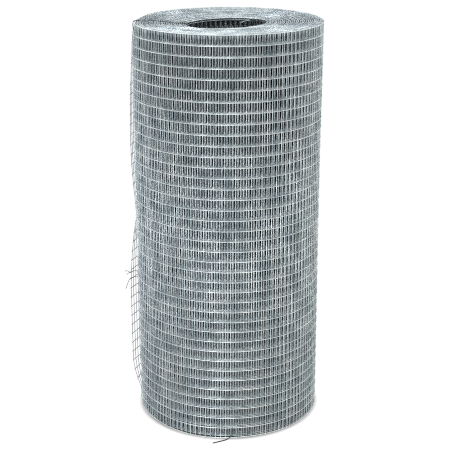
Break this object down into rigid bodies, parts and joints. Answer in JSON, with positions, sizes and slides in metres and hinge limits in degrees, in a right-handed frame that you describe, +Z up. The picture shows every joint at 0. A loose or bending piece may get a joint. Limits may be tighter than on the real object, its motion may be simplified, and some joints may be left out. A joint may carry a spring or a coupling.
{
  "type": "roll of welded wire fencing",
  "caption": "Upright roll of galvanised welded wire mesh with an open core, a sprung loose end and soft wire ties.",
  "frame": {"origin": "on the roll's axis at the lower end of its core, at floor level", "axes": "+Z up along the roll's axis; -Y is the side facing the viewer; the loose end is on the -X side"},
  "size_m": [0.4939, 0.482, 1.002],
  "materials": {
    "galvanised_mesh": "galvanised, dull zinc",
    "tie_wire": "galvanised soft wire",
    "dark_tie_wire": "black annealed wire"
  },
  "bodies": {
    "root": {"mesh_roll": "galvanised_mesh", "loose_end": "galvanised_mesh", "side_tie": "tie_wire", "top_tie": "tie_wire", "bottom_tie": "dark_tie_wire"}
  },
  "joints": []
}
